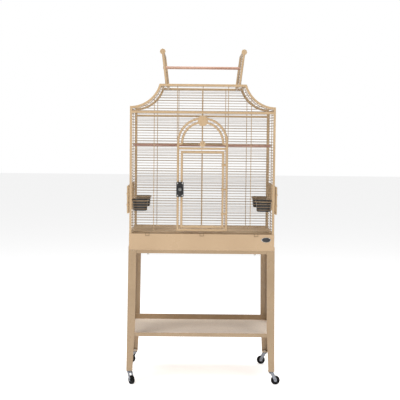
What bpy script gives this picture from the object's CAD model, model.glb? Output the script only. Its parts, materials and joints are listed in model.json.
import json
import math
import bmesh
import bpy
from mathutils import Matrix, Vector


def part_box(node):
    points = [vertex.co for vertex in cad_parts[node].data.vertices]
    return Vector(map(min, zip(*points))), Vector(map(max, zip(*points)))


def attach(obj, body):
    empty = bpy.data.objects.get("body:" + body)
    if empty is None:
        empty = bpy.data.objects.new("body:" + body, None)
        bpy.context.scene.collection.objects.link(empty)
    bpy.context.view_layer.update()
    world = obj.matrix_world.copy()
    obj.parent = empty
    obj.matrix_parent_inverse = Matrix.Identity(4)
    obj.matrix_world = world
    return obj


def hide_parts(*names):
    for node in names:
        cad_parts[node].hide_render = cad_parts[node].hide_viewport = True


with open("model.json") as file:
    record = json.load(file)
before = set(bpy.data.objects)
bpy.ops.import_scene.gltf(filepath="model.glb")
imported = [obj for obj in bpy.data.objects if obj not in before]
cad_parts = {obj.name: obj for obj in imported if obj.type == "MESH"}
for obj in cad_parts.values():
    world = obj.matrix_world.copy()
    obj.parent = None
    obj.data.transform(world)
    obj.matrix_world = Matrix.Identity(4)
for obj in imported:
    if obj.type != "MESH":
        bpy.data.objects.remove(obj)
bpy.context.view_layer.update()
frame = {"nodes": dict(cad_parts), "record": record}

# Sizes of the cage in millimetres, as it is built.
HALF_W, HALF_D, TUBE = 406.5, 266.5, 12.7
POST_X, POST_Y = HALF_W - TUBE / 2, HALF_D - TUBE / 2
CAGE_FLOOR, GRATE_GAP = 852.0, 0.7
BEAM_LOW, BEAM_HIGH = 1525.65, 1538.35       # the level bar under the front gable
REAR_BEAM_DROP = 12.0                        # the rear one lies this much lower
ROOF_AXIS, ROOF_INSIDE = 1682.65, 1676.3     # middle and underside of the top tubes
CURVE_Z, CURVE_R = 1733.4, 169.4             # the hollow curve of the roof's flanks
WIRE, ROD, PITCH, FIRST_WIRE = 2.5, 3.8, 15.2, 868.0
ROD_OFFSET = (WIRE + ROD) / 2 - 0.4
SIDE_ROD_Y = 102.5
ROD_OUTER_X, ROD_INNER_X = 271.0, 142.0      # upright rods of the front and the rear
ARCH_R, ARCH_Z, SILL_Z, LINTEL_Z = 136.6, 1363.0, 875.0, 1331.0
INNER_ARCH_R, CHORD_Z = 114.0, 1356.0
DOOR_X, DOOR_LOW, DOOR_HIGH = 115.0, 893.0, 1311.0
LATCH_X, LATCH_Z = -124.2, 1102.0
FEEDER_X, FEEDER_Y, FEEDER_WIDTH = 415.35, 250.0, 150.0
FEEDER_LOW, FEEDER_HIGH = 969.35, 1113.65
CUP_X, CUP_Y, CUP_TOP, CUP_CORNER = 349.8, 188.0, 1039.8, 28.0
CUP_HALF_X, CUP_HALF_Y, CUP_TALL = 43.0, 42.0, 64.0
RING_ROD, RING_DROP, RING_GAP = 5.0, 6.8, 3.0      # rod of the cup's holder, and its seat
ROOF_HINGE_X, ROOF_REACH, ROOF_LEAN = 204.02, 196.02, 7.0
ROOF_CORNER_X = 235.52                       # middle of the tubes along the roof's edges
PERCH_LIFT, PERCH_R = 112.0, 8.0             # roof perch over the hinges, radius of a perch
ROOF_PERCH_Z, INNER_PERCH_Z = ROOF_AXIS + PERCH_LIFT, 1346.8
GRATE_ROD, GRATE_BAR_X, GRATE_STRIP = 4.0, (210.0, 287.0), 18.0
HOOK_X, HOOK_HALF, HOOK_DROP, HOOK_INNER_Y = 305.0, 10.0, 14.0, -248.3
BADGE_X, BADGE_Z, BADGE_HALF_X, BADGE_HALF_Z = HALF_W - 45.0, CAGE_FLOOR - 30.0, 27.0, 14.0
PLATE_BACK = -HALF_D - 1.0                   # back of the latch cover
ORNAMENT_BACK = -HALF_D - 0.3                # back of the two cast ornaments
STEM_X, STEM_Y, TRAIL, WHEEL_R = 401.0, 261.0, 24.0, 25.0
CASTER_TURN = {"front_left": -58.0, "front_right": 0.0, "rear_left": 150.0, "rear_right": 180.0}
CORNERS = {"front_left": (-1, -1), "front_right": (1, -1), "rear_left": (-1, 1), "rear_right": (1, 1)}
SIDES = {"left": -1, "right": 1}

front_frame_low, front_frame_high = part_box("gable_frame_front")
MIDDLE_X = (front_frame_low.x + front_frame_high.x) / 2
FRONT_Y = front_frame_low.y


def place(point):
    """A point of the cage, in millimetres, as a point of the model, in metres."""
    return (MIDDLE_X + point[0] / 1000, FRONT_Y + (point[1] + HALF_D) / 1000, point[2] / 1000)


# ------------------------------------------------------------------ finishes

def node(tree, kind, links=(), **settings):
    made = tree.nodes.new(kind)
    for key, value in settings.items():
        setattr(made, key, value)
    for socket, source in links:
        if isinstance(source, bpy.types.NodeSocket):
            tree.links.new(source, made.inputs[socket])
        else:
            made.inputs[socket].default_value = source
    return made


def effect(name, inputs, outputs):
    """A node group with named inputs and outputs."""
    tree = bpy.data.node_groups.new(name, "ShaderNodeTree")
    for label, value in inputs.items():
        kind = "NodeSocketColor" if isinstance(value, tuple) else "NodeSocketFloat"
        socket = tree.interface.new_socket(name=label, in_out="INPUT", socket_type=kind)
        socket.default_value = value
    for label in outputs:
        kind = "NodeSocketColor" if label == "Colour" else "NodeSocketFloat"
        tree.interface.new_socket(name=label, in_out="OUTPUT", socket_type=kind)
    return tree, tree.nodes.new("NodeGroupInput").outputs, tree.nodes.new("NodeGroupOutput").inputs


def noise(tree, vector, scale, detail=3.0):
    return node(tree, "ShaderNodeTexNoise", [("Vector", vector), ("Scale", scale), ("Detail", detail)]).outputs[0]


def remap(tree, value, low, high, to_low, to_high):
    links = [(0, value), (1, low), (2, high), (3, to_low), (4, to_high)]
    return node(tree, "ShaderNodeMapRange", links).outputs[0]


def mixed(tree, factor, first, second, how="MIX"):
    links = [(0, factor), (6, first), (7, second)]
    return node(tree, "ShaderNodeMix", links, data_type="RGBA", blend_type=how).outputs[2]


def maths(tree, how, first, second):
    return node(tree, "ShaderNodeMath", [(0, first), (1, second)], operation=how).outputs[0]


def powder_coat_effect():
    """Orange peel, slow mottling and a little dust on what faces up."""
    inputs = {"Paint": (0.6, 0.5, 0.4, 1.0), "Shade": (0.5, 0.4, 0.3, 1.0),
              "Settled": (0.72, 0.68, 0.62, 1.0), "Roughness": 0.4, "Dust": 0.2, "Grain": 700.0}
    tree, given, out = effect("powder_coat", inputs, ["Colour", "Roughness", "Height"])
    where = node(tree, "ShaderNodeTexCoord").outputs["Object"]
    slow = noise(tree, where, 5.0, 4.0)
    fine = noise(tree, where, given["Grain"], 2.0)
    speck = noise(tree, where, 160.0, 5.0)
    colour = mixed(tree, remap(tree, slow, 0.35, 0.7, 0.0, 0.55), given["Paint"], given["Shade"])
    colour = mixed(tree, remap(tree, fine, 0.3, 0.75, 0.0, 0.22), colour, given["Shade"])
    facing = node(tree, "ShaderNodeSeparateXYZ", [(0, node(tree, "ShaderNodeNewGeometry").outputs["Normal"])])
    up = remap(tree, facing.outputs[2], 0.4, 1.0, 0.0, 1.0)
    dust = maths(tree, "MULTIPLY", up, remap(tree, speck, 0.4, 0.75, 0.6, 1.0))
    dust = maths(tree, "MULTIPLY", dust, given["Dust"])
    colour = mixed(tree, dust, colour, given["Settled"])
    tree.links.new(colour, out["Colour"])
    spread = remap(tree, slow, 0.3, 0.7, -0.05, 0.08)
    rough = maths(tree, "ADD", given["Roughness"], spread)
    tree.links.new(maths(tree, "ADD", rough, maths(tree, "MULTIPLY", dust, 0.3)), out["Roughness"])
    tree.links.new(fine, out["Height"])
    return tree


def wood_effect():
    """Long fibres along the dowel, growth streaks and short pores."""
    inputs = {"Light": (0.6, 0.4, 0.3, 1.0), "Dark": (0.4, 0.25, 0.15, 1.0), "Roughness": 0.6}
    tree, given, out = effect("dowel_wood", inputs, ["Colour", "Roughness", "Height"])
    where = node(tree, "ShaderNodeTexCoord").outputs["Object"]
    stretched = node(tree, "ShaderNodeMapping", [("Vector", where), ("Scale", (4.0, 150.0, 150.0))]).outputs[0]
    pores = node(tree, "ShaderNodeMapping", [("Vector", where), ("Scale", (60.0, 900.0, 900.0))]).outputs[0]
    streak = noise(tree, stretched, 1.0, 6.0)
    pore = noise(tree, pores, 1.0, 2.0)
    colour = mixed(tree, remap(tree, streak, 0.35, 0.65, 0.0, 1.0), given["Light"], given["Dark"])
    colour = mixed(tree, remap(tree, pore, 0.55, 0.75, 0.0, 0.6), colour, given["Dark"])
    tree.links.new(colour, out["Colour"])
    rough = maths(tree, "ADD", given["Roughness"], remap(tree, pore, 0.3, 0.7, -0.06, 0.1))
    tree.links.new(rough, out["Roughness"])
    tree.links.new(maths(tree, "ADD", streak, pore), out["Height"])
    return tree


def plastic_effect():
    """Fine moulded texture with faint scuffs."""
    inputs = {"Body": (0.03, 0.03, 0.03, 1.0), "Scuff": (0.12, 0.12, 0.12, 1.0), "Roughness": 0.4, "Grain": 1500.0}
    tree, given, out = effect("moulded_plastic", inputs, ["Colour", "Roughness", "Height"])
    where = node(tree, "ShaderNodeTexCoord").outputs["Object"]
    fine = noise(tree, where, given["Grain"], 2.0)
    scratch = node(tree, "ShaderNodeMapping", [("Vector", where), ("Scale", (900.0, 90.0, 140.0))]).outputs[0]
    scuff = remap(tree, noise(tree, scratch, 1.0, 4.0), 0.62, 0.78, 0.0, 1.0)
    tree.links.new(mixed(tree, scuff, given["Body"], given["Scuff"]), out["Colour"])
    rough = maths(tree, "ADD", given["Roughness"], maths(tree, "MULTIPLY", scuff, 0.2))
    tree.links.new(rough, out["Roughness"])
    tree.links.new(fine, out["Height"])
    return tree


def metal_effect():
    """Brushing marks and a faint tarnish."""
    inputs = {"Metal": (0.7, 0.7, 0.7, 1.0), "Tarnish": (0.45, 0.44, 0.42, 1.0), "Roughness": 0.25}
    tree, given, out = effect("plated_metal", inputs, ["Colour", "Roughness", "Height"])
    where = node(tree, "ShaderNodeTexCoord").outputs["Object"]
    brushed = node(tree, "ShaderNodeMapping", [("Vector", where), ("Scale", (90.0, 90.0, 2500.0))]).outputs[0]
    mark = noise(tree, brushed, 1.0, 3.0)
    stain = noise(tree, where, 120.0, 4.0)
    stained = remap(tree, stain, 0.5, 0.75, 0.0, 0.7)
    tree.links.new(mixed(tree, stained, given["Metal"], given["Tarnish"]), out["Colour"])
    rough = maths(tree, "ADD", given["Roughness"], remap(tree, mark, 0.3, 0.7, -0.07, 0.12))
    tree.links.new(rough, out["Roughness"])
    tree.links.new(mark, out["Height"])
    return tree


def material(name, group, values, bump, metallic=0.0, coat=0.0, specular=0.5):
    made = bpy.data.materials.new(name)
    made.use_nodes = True
    tree = made.node_tree
    shader = tree.nodes["Principled BSDF"]
    look = tree.nodes.new("ShaderNodeGroup")
    look.node_tree = group
    for label, value in values.items():
        look.inputs[label].default_value = value
    tree.links.new(look.outputs["Colour"], shader.inputs["Base Color"])
    tree.links.new(look.outputs["Roughness"], shader.inputs["Roughness"])
    height = [("Height", look.outputs["Height"]), ("Strength", bump), ("Distance", 0.0003)]
    relief = node(tree, "ShaderNodeBump", height)
    tree.links.new(relief.outputs[0], shader.inputs["Normal"])
    shader.inputs["Metallic"].default_value = metallic
    shader.inputs["Specular IOR Level"].default_value = specular
    shader.inputs["Coat Weight"].default_value = coat
    shader.inputs["Coat Roughness"].default_value = 0.2
    return made


def rgb(red, green, blue):
    """A screen colour from 0 to 255 as linear light."""
    return tuple((v / 255) ** 2.2 for v in (red, green, blue)) + (1.0,)


coat, wood, plastic, metal = powder_coat_effect(), wood_effect(), plastic_effect(), metal_effect()


def painted(name, paint, shade, roughness, bump, gloss, **more):
    values = {"Paint": rgb(*paint), "Shade": rgb(*shade), "Roughness": roughness, **more}
    return material(name, coat, values, bump, coat=gloss)


def plated(name, tone, tarnish, roughness, bump):
    values = {"Metal": rgb(*tone), "Tarnish": rgb(*tarnish), "Roughness": roughness}
    return material(name, metal, values, bump, metallic=1.0)


def moulded(name, body, scuff, roughness, bump, **more):
    values = {"Body": rgb(*body), "Scuff": rgb(*scuff), "Roughness": roughness}
    return material(name, plastic, values, bump, **more)


def grained(name, light, dark):
    return material(name, wood, {"Light": rgb(*light), "Dark": rgb(*dark)}, 0.3, specular=0.3)


pale_top = {"Settled": rgb(246, 234, 220), "Dust": 1.35}
finish = {
    "cage_paint": painted("tan_cage_paint", (188, 160, 124), (166, 138, 104), 0.38, 0.12, 0.12),
    "sheet_paint": painted("tan_sheet_paint", (188, 160, 127), (174, 146, 114), 0.3, 0.16, 0.15),
    "stand_paint": painted("tan_stand_paint", (166, 141, 111), (150, 126, 98), 0.26, 0.16, 0.15, **pale_top),
    "bright_metal": plated("zinc_hardware", (205, 203, 198), (150, 146, 138), 0.3, 0.1),
    "badge_metal": plated("badge_silver", (190, 190, 188), (130, 130, 128), 0.32, 0.1),
    "knob_metal": plated("latch_knob_grey", (150, 150, 148), (95, 94, 92), 0.38, 0.15),
    "caster_chrome": plated("caster_plating", (128, 131, 138), (74, 74, 76), 0.14, 0.05),
    "wheel_black": moulded("caster_wheel_black", (17, 17, 19), (48, 47, 46), 0.45, 0.2, specular=0.15),
    "black_plastic": moulded("latch_black", (26, 26, 28), (60, 60, 60), 0.36, 0.15),
    "cup_plastic": moulded("cup_dark_plastic", (48, 46, 46), (85, 82, 80), 0.38, 0.12),
    "perch_wood": grained("roof_perch_wood", (206, 170, 150), (172, 132, 114)),
    "dark_perch_wood": grained("inner_perch_wood", (184, 146, 132), (146, 108, 94)),
}
wire_paint = painted("tan_wire_paint", (142, 118, 86), (116, 94, 66), 0.42, 0.1, 0.1)
enamel = moulded("badge_enamel", (38, 38, 40), (80, 80, 80), 0.25, 0.05, coat=0.5)


# ----------------------------------------------------------------- metalwork

class Work:
    """Collects bars, bends and turned shapes, in millimetres, for one piece."""

    def __init__(self):
        self.points = []
        self.faces = []
        self.thin = set()          # faces of the thin wires, which look deeper

    def skin(self, rings, closed=False):
        """Joins rings of points in order, and closes the two ends."""
        base, size, count = len(self.points), len(rings[0]), len(rings)
        for ring in rings:
            self.points.extend(Vector(p) for p in ring)
        for k in range(count if closed else count - 1):
            a, b = base + k * size, base + (k + 1) % count * size
            for i in range(size):
                j = (i + 1) % size
                self.faces.append((a + i, a + j, b + j, b + i))
        if not closed:
            self.faces.append(tuple(base + i for i in reversed(range(size))))
            self.faces.append(tuple(base + (count - 1) * size + i for i in range(size)))

    def turned(self, profile, origin, axis, sides=24, closed=False, flutes=0, depth=0.0):
        """A lathe shape: pairs of radius and distance along the axis."""
        origin, axis = Vector(origin), Vector(axis).normalized()
        helper = Vector((0, 0, 1)) if abs(axis.z) < 0.9 else Vector((1, 0, 0))
        u = axis.cross(helper).normalized()
        v = axis.cross(u)
        rings = []
        for radius, along in profile:
            ring = []
            for k in range(sides):
                angle = 2 * math.pi * k / sides
                r = radius * (1 + depth * math.cos(flutes * angle))
                ring.append(origin + axis * along + (u * math.cos(angle) + v * math.sin(angle)) * r)
            rings.append(ring)
        self.skin(rings, closed)

    def bar(self, start, end, diameter, sides=12):
        start, end = Vector(start), Vector(end)
        length, r = (end - start).length, diameter / 2
        edge = min(0.25 * r, length / 4)
        profile = [(r - edge, 0), (r, edge), (r, length - edge), (r - edge, length)]
        first = len(self.faces)
        self.turned(profile, start, end - start, sides)
        if diameter == WIRE:
            self.thin.update(range(first, len(self.faces)))

    def bend(self, points, normal, diameter, closed=False, sides=20):
        """A round tube along points in one plane, mitred where they turn."""
        points, normal = [Vector(p) for p in points], Vector(normal).normalized()
        count, r, rings = len(points), diameter / 2, []
        for k, point in enumerate(points):
            after = points[(k + 1) % count] - point if closed or k < count - 1 else point - points[k - 1]
            before = point - points[k - 1] if closed or k else after
            before, after = before.normalized(), after.normalized()
            tangent = (before + after).normalized()
            across = tangent.cross(normal) / max(tangent.dot(after), 0.3)
            angles = [2 * math.pi * i / sides for i in range(sides)]
            rings.append([point + (across * math.cos(a) + normal * math.sin(a)) * r for a in angles])
        first = len(self.faces)
        self.skin(rings, closed)
        if diameter == WIRE:
            self.thin.update(range(first, len(self.faces)))

    def slab(self, outline, low, high, frame_of, edge=0.6):
        """A flat plate with eased edges; frame_of turns (u, v, depth) into a point."""
        def ring(shrink, depth):
            return [frame_of(u * (1 - shrink / size_u), v * (1 - shrink / size_v), depth) for u, v in outline]
        size_u = max(abs(u) for u, v in outline)
        size_v = max(abs(v) for u, v in outline)
        self.skin([ring(edge, low), ring(0, low + edge), ring(0, high - edge), ring(edge, high)])

    def turn(self, pivot_x, pivot_z, degrees):
        """Turns everything about a level line that runs from front to back."""
        spin = Matrix.Rotation(math.radians(degrees), 3, "Y")
        pivot = Vector((pivot_x, 0, pivot_z))
        self.points = [pivot + spin @ (p - pivot) for p in self.points]


def rounded(half_u, half_v, radius, steps=6):
    """Outline of a rectangle with round corners."""
    outline = []
    for k, (su, sv) in enumerate([(1, 1), (-1, 1), (-1, -1), (1, -1)]):
        for i in range(steps + 1):
            a = math.radians(90 * k + 90 * i / steps)
            u = su * (half_u - radius) + radius * math.cos(a)
            outline.append((u, sv * (half_v - radius) + radius * math.sin(a)))
    return outline


def piece(name, work, body, nodes, slot, crease=38):
    """Makes the mesh, gives it its finish, and lets it ride and stand for its nodes."""
    mesh = bpy.data.meshes.new(name)
    mesh.from_pydata([place(p) for p in work.points], [], work.faces)
    shell = bmesh.new()
    shell.from_mesh(mesh)
    bmesh.ops.recalc_face_normals(shell, faces=shell.faces)
    shell.to_mesh(mesh)
    shell.free()
    mesh.polygons.foreach_set("use_smooth", [True] * len(mesh.polygons))
    mesh.set_sharp_from_angle(angle=math.radians(crease))
    made = bpy.data.objects.new(name, mesh)
    bpy.context.scene.collection.objects.link(made)
    mesh.materials.append(finish[slot])
    if work.thin:
        mesh.materials.append(wire_paint)
        count = len(mesh.polygons)
        mesh.polygons.foreach_set("material_index", [int(k in work.thin) for k in range(count)])
    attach(made, body)
    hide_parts(*nodes)
    return made


def rows(low, high, start=FIRST_WIRE):
    """Every wire height of the pattern that lies between two heights."""
    first, last = math.ceil((low - start) / PITCH), math.floor((high - start) / PITCH)
    return [start + PITCH * k for k in range(first, last + 1)]


def arc(radius, start, end, steps, y, centre=(0.0, ARCH_Z)):
    """Points on a circle in an upright plane; angles in degrees from +X."""
    angles = [math.radians(start + (end - start) * k / steps) for k in range(steps + 1)]
    return [(centre[0] + radius * math.cos(a), y, centre[1] + radius * math.sin(a)) for a in angles]


# -------------------------------------------------------------- wire panels

SINK = 1.0        # how far a wire runs into the tube it is welded to


def gable_half_width(z):
    """Half of the space inside a gable at one height."""
    drop = (CURVE_R + TUBE) ** 2 - (CURVE_Z - z) ** 2
    return min(HALF_W - TUBE, HALF_W - math.sqrt(max(drop, 0.0)))


def gable_height(x):
    """Top of the space inside a gable at one distance from the middle."""
    drop = (CURVE_R + TUBE) ** 2 - (HALF_W - abs(x)) ** 2
    return min(ROOF_INSIDE, CURVE_Z - math.sqrt(drop)) if drop > 0 else ROOF_INSIDE


def doorway_half_width(z):
    outer = ARCH_R + TUBE / 2
    if z < ARCH_Z:
        return outer if z > SILL_Z - TUBE / 2 else 0.0
    return math.sqrt(max(outer ** 2 - (z - ARCH_Z) ** 2, 0.0))


def gable_wires(end, has_doorway):
    work = Work()
    y = end * POST_Y
    rod_y = y - end * ROD_OFFSET
    drop = 0.0 if has_doorway else REAR_BEAM_DROP
    for z in rows(FIRST_WIRE - 1, BEAM_LOW - drop) + rows(BEAM_HIGH - drop, ROOF_INSIDE):
        wide = gable_half_width(z) + SINK
        gap = doorway_half_width(z) if has_doorway else 0.0
        if gap > 0:
            for side in (-1, 1):
                work.bar((side * wide, y, z), (side * (gap - 2 * SINK), y, z), WIRE)
        else:
            work.bar((-wide, y, z), (wide, y, z), WIRE)
    feet = {ROD_OUTER_X: FIRST_WIRE - WIRE / 2, ROD_INNER_X: ARCH_Z + TUBE,
            0.0: ARCH_Z + ARCH_R + TUBE / 2 - SINK}
    for x in (-ROD_OUTER_X, -ROD_INNER_X, 0.0, ROD_INNER_X, ROD_OUTER_X):
        foot = feet[abs(x)] if has_doorway else CAGE_FLOOR - SINK
        work.bar((x, rod_y, foot), (x, rod_y, BEAM_LOW - drop + SINK), ROD)
        work.bar((x, rod_y, BEAM_HIGH - drop - SINK), (x, rod_y, gable_height(x) + SINK), ROD)
    return work


def side_wires(side):
    work = Work()
    x, rod_x, reach = side * POST_X, side * (POST_X - ROD_OFFSET), HALF_D - TUBE + SINK
    below = rows(FIRST_WIRE - 1, FEEDER_LOW - TUBE / 2)
    above = rows(FEEDER_HIGH + TUBE / 2, BEAM_HIGH)
    for z in below + above:
        work.bar((x, -reach, z), (x, reach, z), WIRE)
    for z in rows(below[-1] + 1, above[0] - 1):
        work.bar((x, -SIDE_ROD_Y, z), (x, SIDE_ROD_Y, z), WIRE)
    for y in (-SIDE_ROD_Y, SIDE_ROD_Y):
        work.bar((rod_x, y, CAGE_FLOOR - SINK), (rod_x, y, BEAM_HIGH + SINK), ROD)
    return work


def roof_wires(side):
    """The hollow flank of the roof, with its two bent rods."""
    work = Work()
    reach, radius = HALF_D - TUBE + SINK, CURVE_R + TUBE / 2
    first = math.asin(TUBE / radius)
    last = math.acos((CURVE_Z - ROOF_AXIS) / radius) - TUBE / radius
    count = round((last - first) * radius / PITCH)

    def flank(r, share):
        angle = first + (last - first) * share
        return side * (HALF_W - r * math.sin(angle)), CURVE_Z - r * math.cos(angle)

    for k in range(count + 1):
        x, z = flank(radius, k / count)
        work.bar((x, -reach, z), (x, reach, z), WIRE)
    for y in (-SIDE_ROD_Y, SIDE_ROD_Y):
        path = [flank(radius + ROD_OFFSET, k / 20) for k in range(21)]
        work.bend([(x, y, z) for x, z in path], (0, 1, 0), ROD, sides=12)
    edge_x = side * (ROOF_HINGE_X + ROOF_CORNER_X) / 2
    work.bar((edge_x, -reach, ROOF_AXIS), (edge_x, reach, ROOF_AXIS), WIRE)
    return work


piece("front_wirework", gable_wires(-1, True), "cage_and_stand", ["front_grille"], "cage_paint")
piece("rear_wirework", gable_wires(1, False), "cage_and_stand", ["rear_grille"], "cage_paint")
for name, side in SIDES.items():
    piece(f"side_wirework_{name}", side_wires(side), "cage_and_stand", [f"side_grille_{name}"], "cage_paint")
    piece(f"roof_wirework_{name}", roof_wires(side), "cage_and_stand", [f"roof_grille_{name}"], "cage_paint")


# ------------------------------------------------------ doorway and its doors

def doorway():
    work = Work()
    y = -POST_Y
    path = [(ARCH_R, y, SILL_Z)] + arc(ARCH_R, 0, 180, 40, y) + [(-ARCH_R, y, SILL_Z)]
    work.bend(path, (0, 1, 0), TUBE, closed=True)
    work.bar((-ARCH_R, y, LINTEL_Z), (ARCH_R, y, LINTEL_Z), TUBE, 20)
    return work


def window():
    """The fixed half-round window over the door."""
    work = Work()
    y, edge = -POST_Y, ARCH_R - TUBE / 2 + SINK
    path = [(INNER_ARCH_R, y, CHORD_Z)] + arc(INNER_ARCH_R, 0, 180, 36, y) + [(-INNER_ARCH_R, y, CHORD_Z)]
    work.bend(path, (0, 1, 0), TUBE, closed=True)
    work.bar((-edge, y, CHORD_Z), (edge, y, CHORD_Z), TUBE, 20)
    for z in rows(CHORD_Z + TUBE / 2, ARCH_Z + edge):
        wide = math.sqrt(edge ** 2 - max(z - ARCH_Z, 0.0) ** 2)
        work.bar((-wide, y, z), (wide, y, z), WIRE)
    rod_y = y + ROD_OFFSET
    work.bar((0, rod_y, CHORD_Z), (0, rod_y, ARCH_Z + edge), ROD)
    return work


def main_door():
    work = Work()
    y, w = -POST_Y, DOOR_X
    frame_path = [(w, y, DOOR_LOW), (w, y, DOOR_HIGH), (-w, y, DOOR_HIGH), (-w, y, DOOR_LOW)]
    work.bend(frame_path, (0, 1, 0), TUBE, closed=True)
    for z in rows(DOOR_LOW + TUBE, DOOR_HIGH - TUBE):
        work.bar((-w, y, z), (w, y, z), WIRE)
    work.bar((0, y + ROD_OFFSET, DOOR_LOW), (0, y + ROD_OFFSET, DOOR_HIGH), ROD)
    return work


def fluted_shell(work, centre, half_x, half_z, lobes, thick, back):
    """A round plate with a scalloped edge and flutes that run in to its middle."""
    x0, y0, z0 = centre
    sides, rings = lobes * 12, []

    def ring(share, y_of):
        made = []
        for k in range(sides):
            a = 2 * math.pi * k / sides
            scallop = 1 - 0.10 * share * (1 - abs(math.cos(lobes * a / 2)))
            across, up = half_x * share * scallop, half_z * share * scallop
            made.append((x0 + across * math.cos(a), y_of(share, a), z0 + up * math.sin(a)))
        return made

    def relief(share, a):
        crown = thick * (1 - 0.55 * share ** 2)
        return y0 - crown - 0.28 * thick * share * abs(math.cos(lobes * a / 2)) * (1.3 - share)

    rings.append(ring(0.05, lambda share, a: back))
    rings.append(ring(0.97, lambda share, a: back))
    rings.append(ring(1.0, lambda share, a: y0 - 0.35 * thick))
    for share in (0.94, 0.84, 0.7, 0.55, 0.42, 0.3):
        rings.append(ring(share, relief))
    rings.append(ring(0.27, lambda share, a: y0 - thick * 1.05))
    rings.append(ring(0.14, lambda share, a: y0 - thick * 1.22))
    rings.append(ring(0.02, lambda share, a: y0 - thick * 1.25))
    work.skin(rings)


shell = Work()
shell_z = ARCH_Z + (ARCH_R + INNER_ARCH_R) / 2 - TUBE / 4
fluted_shell(shell, (0, ORNAMENT_BACK, shell_z), 28.5, 31.5, 10, 3.6, ORNAMENT_BACK)
piece("arch_shell_ornament", shell, "cage_and_stand", ["medallion"], "cage_paint", crease=60)

spire = Work()
spire.turned([(0.5, 0), (16, 0), (17, 0.9), (16.6, 2.2), (13.5, 3.1), (12.8, 3.6), (8, 4.0), (0.5, 4.0)],
             (0, ORNAMENT_BACK, CHORD_Z), (0, -1, 0), 32)
spire.turned([(0.5, 0), (5, 0), (5.2, 1.2), (4.4, 2.4), (4.9, 3.4), (4.4, 4.6), (3.4, 12), (2.2, 20),
              (1.6, 22.5), (2.1, 23.8), (1.6, 25.4), (0.3, 26)],
             (0, ORNAMENT_BACK - 5.0, CHORD_Z + 2), (0, 0, 1), 20)
piece("arch_spire_ornament", spire, "cage_and_stand", ["finial"], "cage_paint", crease=50)

piece("doorway_tubes", doorway(), "cage_and_stand", ["door_surround"], "cage_paint")
piece("half_round_window", window(), "cage_and_stand", ["arch_panel"], "cage_paint")
piece("front_door_wirework", main_door(), "front_door", ["front_door"], "cage_paint")


def front_plane(x, z, y):
    """Puts a plate's outline on an upright plane that faces the front."""
    return lambda u, v, depth: (x + u, y - depth, z + v)


plate = Work()
plate.slab(rounded(20.5, 42, 4), 0, 7.0, front_plane(LATCH_X, LATCH_Z, PLATE_BACK), edge=1.2)
plate.slab(rounded(14.0, 34, 3), 6.8, 7.6, front_plane(LATCH_X, LATCH_Z, PLATE_BACK), edge=0.5)
plate.slab(rounded(4, 36, 1), -1.0, 0.2, front_plane(-DOOR_X, LATCH_Z, PLATE_BACK), edge=0.1)
piece("latch_cover", plate, "front_door", ["latch_plate"], "black_plastic")

heads = Work()
for sx in (-1, 1):
    for sz in (-1, 1):
        where = (LATCH_X + sx * 13.5, PLATE_BACK - 7.0, LATCH_Z + sz * 34.0)
        domed = [(0.4, 0), (3.5, 0), (3.4, 0.7), (2.6, 1.35), (1.2, 1.6), (0.9, 1.0), (0.2, 1.0)]
        heads.turned(domed, where, (0, -1, 0), 20)
piece("latch_screw_heads", heads, "front_door", ["latch_screws"], "bright_metal")

knob = Work()
face = PLATE_BACK - 7.3
grip = [(0.5, 0), (7.5, 0), (9, 1.0), (9, 7.2), (8.2, 8.6), (6, 9.0), (0.5, 9.0)]
knob.turned(grip, (LATCH_X, face, LATCH_Z), (0, -1, 0), 48, flutes=16, depth=0.025)
knob.slab(rounded(2.5, 8, 1.6), 8.6, 15.0, front_plane(LATCH_X, LATCH_Z, face), edge=0.9)
knob.bar((LATCH_X, face, LATCH_Z), (LATCH_X, -249.3, LATCH_Z), 5.0, 20)
knob.slab(rounded(3.4, 12.7, 1.2), 0, 2.5, front_plane(LATCH_X, LATCH_Z + 9.3, -250.3), edge=0.4)
piece("latch_turn_knob", knob, "latch_knob", ["latch_knob"], "knob_metal")


# ------------------------------------------------------------ feeders and cups

def feeder_door(sx, sy):
    work = Work()
    x, near = sx * FEEDER_X, sy * FEEDER_Y
    far = near - sy * FEEDER_WIDTH
    frame_path = [(x, near, FEEDER_LOW), (x, near, FEEDER_HIGH), (x, far, FEEDER_HIGH), (x, far, FEEDER_LOW)]
    work.bend(frame_path, (1, 0, 0), TUBE, closed=True)
    for z in rows(FEEDER_LOW + TUBE / 2, FEEDER_HIGH - TUBE / 2):
        work.bar((x, near, z), (x, far, z), WIRE)
    return work


def cup_holder(sx, sy):
    work = Work()
    z, rod, grow = CUP_TOP - RING_DROP, RING_ROD, RING_GAP
    outline = rounded(CUP_HALF_X + grow, CUP_HALF_Y + grow, CUP_CORNER + grow, 8)
    ring_path = [(sx * CUP_X + u, sy * CUP_Y + v, z) for u, v in outline]
    work.bend(ring_path, (0, 0, 1), rod, closed=True, sides=14)
    door_x = sx * (FEEDER_X - TUBE / 2 - 0.3)
    for offset in (-20.0, 20.0):
        y = sy * CUP_Y + offset
        work.bar((sx * (CUP_X + CUP_HALF_X + grow), y, z), (door_x, y, z), rod, 14)
    bar_x = door_x - sx * rod / 2
    near, far = sy * (FEEDER_Y - TUBE), sy * (FEEDER_Y - FEEDER_WIDTH - TUBE / 2)
    work.bar((bar_x, near, z), (bar_x, far, z), rod, 14)
    return work


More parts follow.
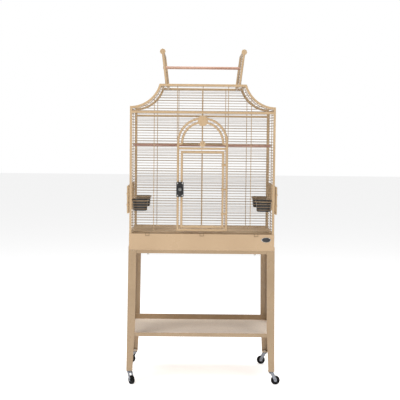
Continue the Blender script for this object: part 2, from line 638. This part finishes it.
def cup(sx, sy):
    """Moulded cup: rounded foot, tapered wall, rolled rim and a smooth inside."""
    work = Work()
    tall, taper = CUP_TALL, math.tan(math.radians(4))
    low = CUP_TOP - tall
    stations = [(-9, 0.0), (-3.5, 0.4), (-1.2, 1.8), (0, 4.5)]
    rings = []

    def ring(grow, z):
        outline = rounded(CUP_HALF_X + grow, CUP_HALF_Y + grow, CUP_CORNER + grow, 8)
        return [(sx * CUP_X + u, sy * CUP_Y + v, z) for u, v in outline]

    for shrink, up in stations:
        rings.append(ring(shrink - (tall - up) * taper, low + up))
    for up in (20, 40, 56, 59.4):
        rings.append(ring(-(tall - up) * taper, low + up))
    rim = [(0, 4), (3.4, 4), (4, 3.2), (4, 1.2), (3.2, 0.3), (1.5, 0), (-0.8, 0), (-2.0, 0.8), (-2.6, 3)]
    rings += [ring(grow, CUP_TOP - down) for grow, down in rim]
    for down in (20, 40, 54):
        rings.append(ring(-2.5 - down * taper, CUP_TOP - down))
    for shrink, down in ((-1.2, 58.5), (-3.5, 60.8), (-9, 61.5)):
        rings.append(ring(-2.5 + shrink - down * taper, CUP_TOP - down))
    work.skin(rings)
    return work


for name, (sx, sy) in CORNERS.items():
    body = f"feeder_door_{name}"
    piece(f"feeder_door_wirework_{name}", feeder_door(sx, sy), body, [f"feeder_door_{name}"], "cage_paint")
    piece(f"cup_holder_{name}", cup_holder(sx, sy), body, [f"cup_ring_{name}"], "cage_paint")
    own = f"feeder_cup_{name}"
    piece(f"moulded_cup_{name}", cup(sx, sy), own, [own], "cup_plastic", crease=50)


# ------------------------------------------------------------- roof and perches

def roof_door(side):
    work = Work()
    x, reach = side * ROOF_HINGE_X, HALF_D - TUBE - 1.5
    rail, tip = reach - TUBE / 2, ROOF_AXIS + ROOF_REACH
    frame_path = [(x, -rail, ROOF_AXIS), (x, rail, ROOF_AXIS), (x, rail, tip), (x, -rail, tip)]
    work.bend(frame_path, (1, 0, 0), TUBE, closed=True)
    seat = (PERCH_LIFT - (2 * PERCH_R + WIRE) / 2 - 0.3) / math.cos(math.radians(ROOF_LEAN))
    for row in rows(TUBE, ROOF_REACH - TUBE, start=seat):
        if side < 0 and 1.0 < row - seat < PITCH + 1.0:
            continue
        work.bar((x, -rail, ROOF_AXIS + row), (x, rail, ROOF_AXIS + row), WIRE)
    for y in (-SIDE_ROD_Y, SIDE_ROD_Y):
        rod_x = x + side * ROD_OFFSET
        work.bar((rod_x, y, ROOF_AXIS), (rod_x, y, tip), ROD)
    fluted_shell(work, (x, -reach + 3.4, tip - 8.85), 16.0, 16.0, 8, 2.7, -reach + 5.0)
    work.turn(x, ROOF_AXIS, side * ROOF_LEAN)
    return work


def dowel(left, right, z):
    work = Work()
    length, r = right - left, PERCH_R
    profile = [(r - 3.5, 0), (r - 1.6, 0.3), (r - 0.5, 1.0), (r, 2.4)]
    profile += [(r, length * k / 12) for k in range(1, 12)]
    profile += [(a, length - b) for a, b in reversed(profile[:4])]
    work.turned(profile, (left, 0, z), (1, 0, 0), 32)
    return work


for name, side in SIDES.items():
    own = f"roof_door_{name}"
    piece(f"roof_door_wirework_{name}", roof_door(side), own, [own], "cage_paint", crease=45)
lean = math.tan(math.radians(ROOF_LEAN))
lean_out = PERCH_LIFT * lean
right_end = ROOF_HINGE_X + lean_out - PERCH_R * lean - WIRE / 2 - 0.3
left_end = -ROOF_HINGE_X - lean_out - 14.0
piece("roof_dowel", dowel(left_end, right_end, ROOF_PERCH_Z), "roof_perch", ["roof_perch"], "perch_wood")
inner_end = POST_X - WIRE / 2 - 0.3
inner_dowel = dowel(-inner_end, inner_end, INNER_PERCH_Z)
piece("inner_dowel", inner_dowel, "cage_and_stand", ["inner_perch"], "dark_perch_wood")

ends = Work()
for side in (-1, 1):
    seat_x = side * (POST_X + WIRE / 2)
    ends.bar((side * (inner_end - 22), 0, INNER_PERCH_Z), (seat_x, 0, INNER_PERCH_Z), 4.0, 16)
    ends.turned([(2, 0), (8.4, 0), (9, 0.4), (9, 0.8), (8.4, 1.2), (4.6, 1.2), (4.4, 2.0), (3.6, 3.4),
                 (1.8, 4.2), (0.3, 4.2)], (seat_x, 0, INNER_PERCH_Z), (side, 0, 0), 28)
piece("perch_end_screws", ends, "cage_and_stand", ["perch_screws"], "bright_metal")


# ------------------------------------------------------------- grate and tray

def floor_grate():
    work = Work()
    side, reach, rod = HALF_W - TUBE - 1.5, HALF_D - TUBE - 1.5, GRATE_ROD
    low = CAGE_FLOOR + GRATE_GAP
    mid = low + rod / 2
    for sign in (-1, 1):
        middle = sign * (side - GRATE_STRIP / 2)
        strip = rounded(GRATE_STRIP / 2, reach, 2)
        work.slab(strip, 0, rod, lambda u, v, depth: (middle + u, v, low + depth), edge=0.4)
        for x in GRATE_BAR_X:
            work.bar((sign * x, -reach, mid), (sign * x, reach, mid), rod)
        y = sign * (reach - 1.5 * rod)
        work.bar((-side, y, mid), (side, y, mid), rod)
    count = int((2 * reach - 2 * PITCH) / PITCH)
    for k in range(count + 1):
        y = (k - count / 2) * PITCH
        z = low + rod + WIRE / 2 - 0.4
        work.bar((-side, y, z), (side, y, z), WIRE)
    work.thin.clear()
    return work


def hooks():
    """Bent wire loops that hang over the tray's panel."""
    work = Work()
    z, inner, outer, bow = CAGE_FLOOR + GRATE_GAP + GRATE_ROD / 2, HOOK_INNER_Y, -HALF_D - 3.85, 2
    corner = [(math.sin(math.radians(a)), math.cos(math.radians(a))) for a in (0, 22, 45, 68, 90)]
    for x in (-HOOK_X, 0.0, HOOK_X):
        for v in (x - HOOK_HALF, x + HOOK_HALF):
            turn = [(v, outer + bow - bow * out, z - bow + bow * up) for out, up in corner]
            work.bend([(v, inner, z)] + turn + [(v, outer, z - HOOK_DROP)], (1, 0, 0), WIRE, sides=12)
        half = HOOK_HALF + 1.2
        work.bar((x - half, outer, z - HOOK_DROP), (x + half, outer, z - HOOK_DROP), WIRE)
    return work


piece("floor_grate", floor_grate(), "grate", ["grate"], "cage_paint")
piece("grate_hanging_hooks", hooks(), "grate", ["grate_hooks"], "cage_paint")

angles = [math.radians(a) for a in range(0, 360, 8)]
oval = [(BADGE_HALF_X * math.cos(a), BADGE_HALF_Z * math.sin(a)) for a in angles]
maker_plate = Work()
spot = front_plane(BADGE_X, BADGE_Z, -HALF_D - 2.3)
steps = [(0.98, 0.0), (1.0, 0.5), (0.98, 1.6), (0.95, 2.0), (0.88, 2.0), (0.86, 1.3), (0.1, 1.3)]
maker_plate.skin([[spot(u * share, v * share, depth) for u, v in oval] for share, depth in steps])
badge = piece("oval_plate", maker_plate, "tray", ["badge"], "badge_metal")
badge.data.materials.append(enamel)
for polygon in badge.data.polygons:
    centre = polygon.center
    u = (centre.x - place((BADGE_X, 0, 0))[0]) * 1000 / BADGE_HALF_X
    v = (centre.z - BADGE_Z / 1000) * 1000 / BADGE_HALF_Z
    if math.hypot(u, v) < 0.855 and polygon.normal.y < -0.5:
        polygon.material_index = 1


# -------------------------------------------------------------------- casters

def wheel(name):
    work = Work()
    sx, sy = CORNERS[name]
    turn = math.radians(CASTER_TURN[name])
    middle = (sx * STEM_X + TRAIL * math.cos(turn), sy * STEM_Y + TRAIL * math.sin(turn), WHEEL_R)
    axle = (-math.sin(turn), math.cos(turn), 0)
    half = [(3.05, 8.8), (3.4, 9.0), (7.4, 9.0), (8, 8.4), (8.4, 5.6), (9.4, 5.0), (17.2, 5.0), (18.4, 5.6),
            (19, 7.6), (20, 8.4), (22.6, 8.6), (24.0, 8.0), (24.7, 6.8), (WHEEL_R, 5.0), (WHEEL_R, 1.6)]
    work.turned(half + [(r, -x) for r, x in reversed(half)], middle, axle, 48, closed=True)
    return work


for name in CORNERS:
    own = f"caster_wheel_{name}"
    piece(f"grooved_wheel_{name}", wheel(name), own, [own], "wheel_black", crease=45)


# --------------------------------------------- pieces that keep their CAD shape

slots = {entry["node"]: entry["material_slot"] for entry in frame["record"]["subparts"]}
EASED = {"stand_cross_rails": 0.5, "stand_side_rails": 0.5, "shelf": 0.4, "base_skirt": 0.3,
         "tray": 0.3, "tray_runners": 0.3, "hinge_eyes": 0.5,
         "cross_tubes": 1.1, "gable_frame_front": 1.1, "gable_frame_rear": 1.1}      # in millimetres
EASED.update({f"leg_{name}": 0.5 for name in CORNERS})
EASED.update({f"caster_fork_{name}": 0.4 for name in CORNERS})
for name, kept in frame["nodes"].items():
    if kept.hide_render:
        continue
    kept.data.materials.clear()
    kept.data.materials.append(finish[slots[name]])
    if name in EASED:
        weld = kept.modifiers.new("weld", "WELD")
        weld.merge_threshold = 0.00002
        ease = kept.modifiers.new("eased_edges", "BEVEL")
        ease.width = EASED[name] / 1000
        ease.segments = 2
        ease.limit_method = "ANGLE"
        ease.angle_limit = math.radians(40)
        ease.harden_normals = False


# --------------------------------------------------------- floor, light, camera

ground = bpy.data.meshes.new("studio_floor")
span = 30.0
ground.from_pydata([(-span, -span, 0), (span, -span, 0), (span, span, 0), (-span, span, 0)], [], [(0, 1, 2, 3)])
floor = bpy.data.objects.new("studio_floor", ground)
bpy.context.scene.collection.objects.link(floor)
pale = bpy.data.materials.new("pale_floor")
pale.use_nodes = True
pale_shader = pale.node_tree.nodes["Principled BSDF"]
pale_shader.inputs["Base Color"].default_value = (0.92, 0.92, 0.92, 1)
pale_shader.inputs["Roughness"].default_value = 0.7
pale_shader.inputs["Emission Color"].default_value = (1, 1, 1, 1)
pale_shader.inputs["Emission Strength"].default_value = 0.62
ground.materials.append(pale)

world = bpy.data.worlds.new("studio")
bpy.context.scene.world = world
world.use_nodes = True
sky = world.node_tree
sky.nodes["Background"].inputs["Color"].default_value = (1.0, 1.0, 1.0, 1)
seen = node(sky, "ShaderNodeLightPath").outputs["Is Camera Ray"]
sky.links.new(remap(sky, seen, 0.0, 1.0, 0.3, 1.0), sky.nodes["Background"].inputs["Strength"])
bpy.context.scene.view_settings.view_transform = "Standard"


def softbox(name, where, aim, size, power):
    light = bpy.data.lights.new(name, "AREA")
    light.shape = "RECTANGLE"
    light.size, light.size_y = size
    light.energy = power
    lamp = bpy.data.objects.new(name, light)
    bpy.context.scene.collection.objects.link(lamp)
    lamp.location = where
    lamp.rotation_euler = (Vector(aim) - Vector(where)).to_track_quat("-Z", "Y").to_euler()


softbox("key_softbox", (-2.2, -3.2, 3.9), (0, 0, 1.0), (2.0, 2.0), 108)
softbox("fill_softbox", (2.2, -4.4, 2.6), (0, 0, 0.9), (1.6, 1.6), 46)
softbox("top_softbox", (0.3, 0.4, 4.6), (0, 0, 0.8), (2.4, 2.4), 110)

lens = bpy.data.cameras.new("studio_camera")
lens.lens = 91.85
lens.sensor_width = 36.0
lens.clip_end = 200.0
camera = bpy.data.objects.new("studio_camera", lens)
bpy.context.scene.collection.objects.link(camera)
camera.location = (MIDDLE_X - 0.046, FRONT_Y - 5.7, 1.4075)
camera.rotation_euler = (math.radians(90 - 3.655), math.radians(-0.57), math.radians(-0.31))
bpy.context.scene.camera = camera
